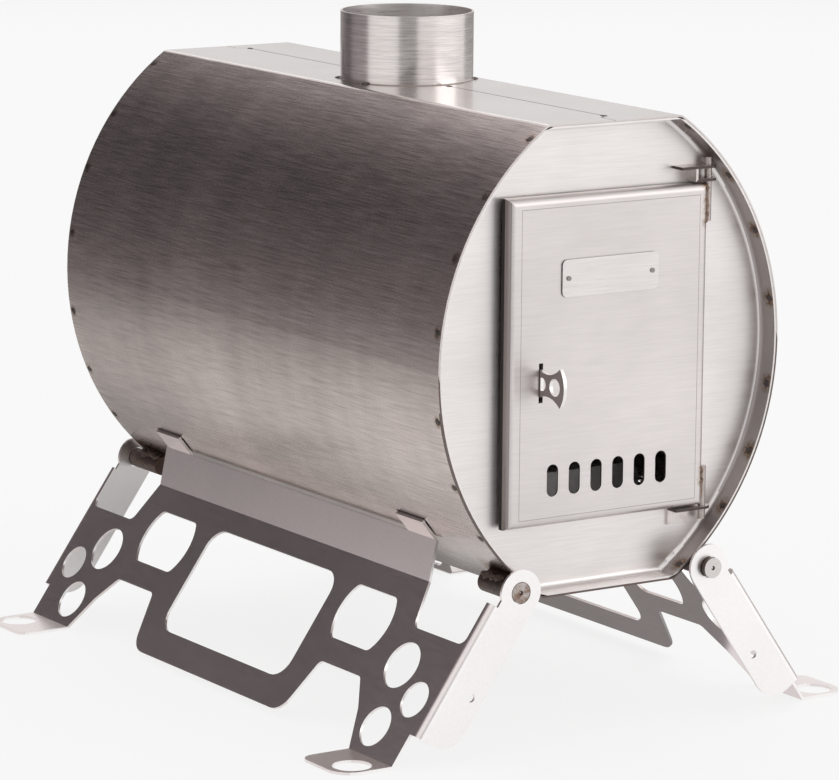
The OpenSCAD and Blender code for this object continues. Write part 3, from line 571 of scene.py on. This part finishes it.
def dress_door():
    """The door with its bend lines painted as shade lines, and its side, darker as painted shade with
    painted shadow by the panel.
    """
    # Painted shade: dark lines along the door's bends
    face = steel("door_finish", (0.70, 0.655, 0.64), (0.34, 0.46), ACROSS, 1100, tints=hinge_marks(),
                 bump=0.05, lines=[(crease_box(0.0), crease_box(CREASE_W))], line_tone=0.5)
    # Painted shade on the side that looks left, with painted shadow on its rear part by the panel
    side = steel("door_shaded_side_finish", (0.34, 0.30, 0.29), (0.3, 0.45), (1, 1, 0.05), 700,
                 lines=[(DOOR_SHADE, [])], line_tone=0.12)
    dress("door_panel", face, (side, faces_left))


def dress_plate():
    """The bare plate on the door, its edge darkened as painted shade, and its rivets."""
    face = steel("plate_finish", (0.78, 0.735, 0.72), (0.25, 0.35), ACROSS, 900)
    # Painted shade: the plate's thin edges are near black
    edge = steel("plate_shaded_edge_finish", (0.12, 0.10, 0.10), (0.4, 0.5))
    dress("nameplate", edge, (face, faces_end))
    dress("nameplate_rivets", steel("rivet_finish", (0.3, 0.28, 0.27), (0.3, 0.4)))


def dress_legs():
    """The legs: flanges, the smoother panel, darker as painted shade, and the end flanges, pale as
    painted light.
    """
    flange = steel("leg_finish", (0.86, 0.80, 0.785), (0.29, 0.33), (1, 0.4, 1), 700, cloud=0.05,
                   streak=0.04, bump=0.015)
    # Painted shade: the sloping panel is a darker copy of the leg's steel
    panel = steel("leg_shaded_panel_finish", (0.77, 0.695, 0.685), (0.24, 0.27), (1, 0.15, 1), 500,
                  streak=0.06, bump=0.01)
    # Painted light: the end flanges are a near-white copy of the leg's steel
    end = steel("leg_lit_end_finish", (0.97, 0.945, 0.935), (0.29, 0.33), (1, 0.4, 1), 700, cloud=0.03,
                streak=0.03, bump=0.015)
    for leg in ("left_leg", "right_leg"):
        dress(leg, flange, (panel, leg_panel), (end, faces_end))


def dress_latch():
    """The latch plate, dark with bright edges, and what holds it behind the door."""
    edge = steel("lever_edge_finish", (0.92, 0.89, 0.87), (0.3, 0.4), grain_size=400)
    face = steel("lever_finish", (0.34, 0.30, 0.295), (0.35, 0.5), (1, 1, 0.3), 400, mottle=0.15)
    dress("latch_lever", edge, (face, lever_side))
    inner = steel("inner_finish", (0.42, 0.39, 0.37), (0.45, 0.6))
    for node in ("latch_keeper", "latch_bracket", "latch_pin"):
        dress(node, inner)


def dress_guard():
    """The ember guard behind the air slots."""
    # Painted light: the guard's steel is near white so that it reads bright in the shade behind the
    # slots
    dress("ember_guard", steel("guard_lit_finish", (0.96, 0.92, 0.91), (0.5, 0.7)))


def dress_hinges():
    """The brackets, with the cut edges of their ears darkened as painted shade, and the rods."""
    bracket = steel("bracket_finish", (0.72, 0.67, 0.65), (0.3, 0.45), grain_size=400, mottle=0.2)
    # Painted shade: the ears' cut edges are near black
    edge = steel("bracket_shaded_edge_finish", (0.10, 0.08, 0.075), (0.3, 0.45), grain_size=400)
    rod = steel("rod_finish", (0.50, 0.45, 0.43), (0.3, 0.5), mottle=0.35, bump=0.4)
    for end in ("upper", "lower"):
        low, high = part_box(f"{end}_hinge_bracket")

        def ear_edge(centre, normal):
            between_ears = low.z + EAR_T < centre.z < high.z - EAR_T
            return abs(normal.z) < 0.5 and not between_ears

        dress(f"{end}_hinge_bracket", bracket, (edge, ear_edge))
        dress(f"{end}_hinge_rod", rod)


def dress_stubs():
    """The pivot stubs, burnt from the welding, with cleaner heads."""
    burnt = steel("burnt_finish", (0.09, 0.07, 0.065), (0.3, 0.55), grain_size=400, mottle=0.35,
                  bump=0.9, bump_rise=0.7 * MM)
    head = steel("head_finish", (0.68, 0.64, 0.625), (0.3, 0.42), grain_size=500, bump=0.1)
    stained_head = steel("stained_head_finish", (0.52, 0.47, 0.45), (0.3, 0.5), grain_size=350,
                         mottle=0.8, bump=0.6)
    for stub in STUBS:
        outward = 1 if "rear" in stub else -1

        def outer_end(centre, normal):
            return outward * normal.y > 0.9

        dress(stub, burnt, (stained_head if "left" in stub else head, outer_end))


# Weld metal that only the picture needs
UP = Vector((0, 0, 1))
FRONTWARD = Vector((0, -1, 0))
CRUST_COUNT = 16
CRUST_FIRST = 0.03  # shares of a stub's length, from its inner end, between which the crust lies
CRUST_LAST = 0.53
CRUST_OUTER = -35  # the two rows of crust, in degrees from straight up towards the stove's middle
CRUST_INNER = 62
CRUST_SEAT = 0.97  # share of the stub's radius at which the crust is centred


def lump(name, body, mat, place, out, radius, rise, wobble, long, along=(0, 1, 0)):
    """A flat, uneven bead on a surface, riding on a body.

    out is the surface's direction, rise the bead's height, wobble its unevenness, and long how many
    times longer it is along the last direction.
    """
    mesh = bpy.data.meshes.new(name)
    ball = bmesh.new()
    bmesh.ops.create_uvsphere(ball, u_segments=20, v_segments=10, radius=1.0)
    for vertex in ball.verts:
        vertex.co *= 1 + wobble * (random.random() - 0.5)
    ball.to_mesh(mesh)
    ball.free()
    for polygon in mesh.polygons:
        polygon.use_smooth = True
    piece = bpy.data.objects.new(name, mesh)
    scene.collection.objects.link(piece)
    across = out.cross(Vector(along)).normalized()
    along = across.cross(out).normalized()
    turn = Matrix((across, along, out)).transposed().to_4x4()
    size = Matrix.Diagonal((radius, radius * long, rise, 1))
    piece.matrix_world = Matrix.Translation(place) @ turn @ size
    mesh.materials.append(mat)
    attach(piece, body)


def spot_welds():
    """Spot welds through the barrel into the flanges of the two end panels."""
    mat = steel("weld_finish", (0.10, 0.085, 0.08), (0.3, 0.5), grain_size=400, bump=0.5)
    for i, rise in enumerate(WELD_RISES):
        for side, tag in ((-1, "left"), (1, "right")):
            for y, end in ((WELD_FRONT, "front"), (WELD_REAR, "rear")):
                place, out = side_point(side, rise, y)
                lump(f"{end}_{tag}_weld_{i}", "stove_body", mat, place, out, radius=1.7 * MM,
                     rise=0.2 * MM, wobble=0.5, long=1.2)
            place, out = side_point(side, rise, WELD_FRONT, INNER_FACE)
            lump(f"inner_{tag}_weld_{i}", "stove_body", mat, place, -out, radius=1.9 * MM,
                 rise=0.3 * MM, wobble=0.6, long=1.2)


def seam_tacks():
    """Tack welds at the ends of the lap seam and at the foot of the collar."""
    mat = steel("tack_finish", (0.12, 0.10, 0.095), (0.3, 0.5), grain_size=500, bump=0.5)
    to_collar = 6 * MM
    beside_collar = 0.6 * MM
    ends = (SHELL_LO.y + SEAM_END, SHELL_HI.y - SEAM_END, COLLAR_LO.y - to_collar,
            COLLAR_HI.y + to_collar)
    for i, y in enumerate(ends):
        place = Vector((SEAM_X, y, SHELL_HI.z))
        lump(f"seam_tack_{i}", "stove_body", mat, place, UP, radius=1.6 * MM, rise=0.35 * MM,
             wobble=0.4, long=1.4)
    reach = COLLAR_R + beside_collar
    for i, angle in enumerate((147, 200, 327, 20)):
        turn = math.radians(angle)
        place = Vector((COLLAR_MID.x + reach * math.cos(turn), COLLAR_MID.y + reach * math.sin(turn),
                        SHELL_HI.z))
        lump(f"collar_tack_{i}", "stove_body", mat, place, UP, radius=2.0 * MM, rise=0.9 * MM,
             wobble=0.5, long=1.3)


def rod_crust():
    """Rough, rusty weld metal along the hinge rods on the door, between two shares of each rod."""
    rust = steel("crust_finish", (0.44, 0.33, 0.27), (0.35, 0.6), mottle=0.9, bump=0.9)
    seat = 0.7 * MM
    for rod, first, last, count in (("upper_hinge_rod", 0.06, 0.52, 8),
                                    ("lower_hinge_rod", 0.45, 0.92, 6)):
        low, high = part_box(rod)
        for i in range(count):
            share = first + (last - first) * i / (count - 1)
            place = Vector((low.x - random.uniform(-0.4, 0.8) * MM, low.y + seat,
                            low.z + share * (high.z - low.z)))
            radius = random.uniform(1.2, 1.9) * MM
            rise = random.uniform(0.9, 1.3) * MM
            lump(f"{rod}_crust_{i}", "door", rust, place, FRONTWARD, radius, rise, wobble=0.8,
                 long=1.4, along=UP)


def stub_crust():
    """Rough, sooty weld metal in two rows on each stub, from its inner end to its middle."""
    soot = steel("soot_finish", (0.22, 0.18, 0.165), (0.22, 0.45), grain_size=500, mottle=0.6,
                 bump=0.9, bump_rise=0.6 * MM)
    for stub in STUBS:
        low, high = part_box(stub)
        middle = (low + high) / 2
        stub_r = (high.x - low.x) / 2
        inward = 1 if "right" in stub else -1
        near, far = (low.y, high.y) if "rear" in stub else (high.y, low.y)
        for i in range(CRUST_COUNT):
            row = CRUST_OUTER if i % 2 else CRUST_INNER
            turn = math.radians(90 + inward * row + random.uniform(-10, 10))
            out = Vector((math.cos(turn), 0, math.sin(turn)))
            place = middle + out * stub_r * CRUST_SEAT
            share = CRUST_FIRST + (CRUST_LAST - CRUST_FIRST) * i / CRUST_COUNT
            place.y = near + (far - near) * share
            radius = random.uniform(1.2, 2.2) * MM
            rise = random.uniform(0.8, 1.4) * MM
            lump(f"{stub}_crust_{i}", "stove_body", soot, place, out, radius, rise, wobble=0.9,
                 long=1.3)


def collar_bead():
    """The weld round the foot of the flue collar."""
    bpy.ops.mesh.primitive_torus_add(major_radius=COLLAR_R, minor_radius=0.5 * MM, major_segments=120,
                                     minor_segments=8)
    ring = bpy.context.object
    ring.name = "collar_weld"
    ring.location = (COLLAR_MID.x, COLLAR_MID.y, SHELL_HI.z)
    for polygon in ring.data.polygons:
        polygon.use_smooth = True
    ring.data.materials.append(steel("bead_finish", (0.34, 0.29, 0.27), (0.3, 0.5), grain_size=500,
                                     bump=0.6, mottle=0.4))
    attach(ring, "stove_body")


# The room: three soft lamps, and glowing sheets of painted reflection whose tones the barrel, the door
# and the legs mirror
def hang_lamps():
    """Soft light from above, from the front right and from behind."""
    softbox("top_light", place=(0.5, 0.8, 2.4), aim=(0, 0, 0.2), size=(2.0, 2.0), power=9)
    softbox("front_light", place=(2.2, -2.6, 1.3), aim=(0, -0.1, 0.2), size=(2.7, 2.2), power=18)
    softbox("back_light", place=(1.6, 3.0, 1.3), aim=(0, 0, 0.3), size=(3.0, 1.8), power=7)


def hang_reflection_sheets():
    """Painted reflections: the dark side of the room at the left and behind, greyer sheets at the right
    and in front, and painted shadow on the floor at the left and under the stove.
    """
    standing_reflection_sheet("back_reflection_sheet",
               feet=[(-1.5, 0.35, 1.3), (-1.1, 0.75, 1.6), (-0.84, 0.88, 1.5), (-0.71, 0.945, 1.2),
                     (-0.63, 0.985, 0.75), (-0.515, 1.04, 0.7), (0.2, 1.4, 2.0)],
               rows=[(0.0, 0.31), (0.1, 0.27), (0.2, 0.18), (0.35, 0.14), (0.6, 0.12), (0.8, 0.09),
                     (0.9, 0.13), (1.0, 0.15), (1.1, 0.16), (1.25, 0.16), (1.4, 0.4), (1.7, 0.9)],
               hue=DUSK_HUE)
    standing_reflection_sheet("right_reflection_sheet",
               feet=[(0.3, 2.8, 1), (2.3, 1.3, 1), (2.6, -0.25, 1)],
               rows=[(0.0, 0.33), (0.3, 0.35), (0.45, 0.75), (0.75, 0.8), (1.0, 0.9)])
    standing_reflection_sheet("front_reflection_sheet",
               feet=[(-1.9, -1.77, 1), (-0.67, -2.51, 1)],
               rows=[(0.0, 0.15), (0.9, 0.15)])
    # Painted reflection of the floor at the left, with painted shadow close to the barrel and darker
    # farther back
    floor_reflection_sheet("left_reflection_sheet", near=(0.0, 1.17), far=(1.2, 0.11),
                columns=[(-0.02, 0.45), (-0.09, 0.55), (-0.13, 0.75), (-0.2, 0.92), (-0.5, 0.97),
                         (-0.9, 0.9), (-1.6, 0.8)])
    # Painted shadow on the floor under and behind the stove, as the steel reflects it
    floor_reflection_sheet("under_reflection_sheet", near=(-0.12, 0.3), far=(0.9, 0.3),
                columns=[(-0.02, 0.9), (0.35, 0.8), (0.55, 2.0), (0.8, 2.8)])


make_camera()
make_world()
make_floor()
dress_barrel()
dress_panels()
dress_collar()
dress_door()
dress_plate()
dress_legs()
dress_latch()
dress_guard()
dress_hinges()
dress_stubs()
spot_welds()
seam_tacks()
rod_crust()
stub_crust()
collar_bead()
hang_lamps()
hang_reflection_sheets()
